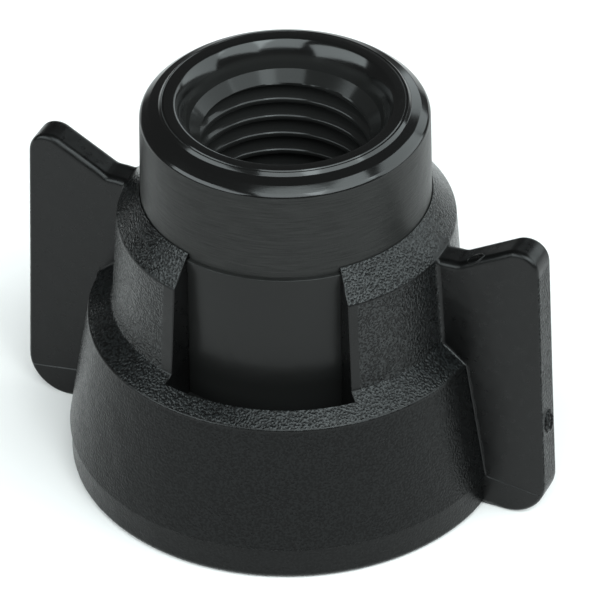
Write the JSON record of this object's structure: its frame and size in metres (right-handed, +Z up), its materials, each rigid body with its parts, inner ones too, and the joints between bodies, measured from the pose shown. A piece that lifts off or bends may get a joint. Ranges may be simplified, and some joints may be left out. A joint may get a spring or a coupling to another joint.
{
  "type": "wing nut",
  "caption": "Winged quarter-turn coupling nut of black nylon that turns on a pipe-threaded outlet insert with a rubber seat gasket, for closing or adapting a spray nozzle body.",
  "frame": {"origin": "centre of the skirt rim's plane, which the nut stands on", "axes": "+Z up the axis to the outlet mouth, +X along one wing, +Y to the other side by the right-hand rule"},
  "size_m": [0.0388, 0.0302, 0.0289],
  "materials": {
    "nut_nylon": "spark-eroded grain on skirt and collar, smooth satin wings",
    "insert_nylon": "satin wall with fine turned lines, glossy rim",
    "gasket_rubber": "matt moulded rubber"
  },
  "bodies": {
    "outlet": {"threaded_insert": "insert_nylon", "seat_gasket": "gasket_rubber"},
    "nut": {"wing_nut": "nut_nylon"}
  },
  "joints": [
    {"name": "nut_swivel", "type": "hinge", "parent": "outlet", "child": "nut", "pos_m": [0, 0, 0.0158], "axis": [0, 0, 1], "continuous": true}
  ]
}
